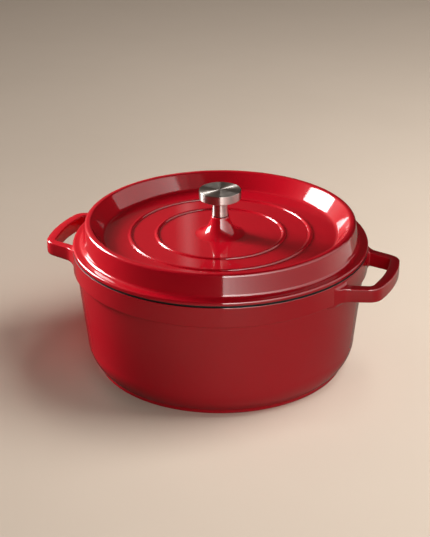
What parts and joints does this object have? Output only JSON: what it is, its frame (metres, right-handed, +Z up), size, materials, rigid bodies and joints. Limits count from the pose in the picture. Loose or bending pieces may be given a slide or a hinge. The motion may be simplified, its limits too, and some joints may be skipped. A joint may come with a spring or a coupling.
{
  "type": "cast iron dutch oven",
  "caption": "Round enamelled cast-iron dutch oven with loop handles cast in one with the pot, and a lift-off lid with a raised rim, ring ribs and a screwed metal knob.",
  "frame": {"origin": "centre of the pot's flat base, on the surface it stands on", "axes": "+X along the line through both handles, +Z up along the axis of the pot, lid and knob"},
  "size_m": [0.3348, 0.274, 0.1694],
  "materials": {
    "pot_enamelled_iron": "glossy red vitreous enamel outside, matte black enamel inside",
    "lid_enamelled_iron": "glossy red vitreous enamel outside, matte black enamel underneath",
    "knob_metal": "turned and brushed",
    "screw_steel": "plain",
    "washer_steel": "plain"
  },
  "bodies": {
    "pot": {"pot": "pot_enamelled_iron"},
    "lid": {"lid": "lid_enamelled_iron", "knob": "knob_metal", "knob_screw": "screw_steel", "flat_washer": "washer_steel", "lock_washer": "washer_steel"}
  },
  "joints": [
    {"name": "lid_lift", "type": "slide", "parent": "pot", "child": "lid", "axis": [0, 0, 1], "range_m": [0, 0.15]}
  ]
}
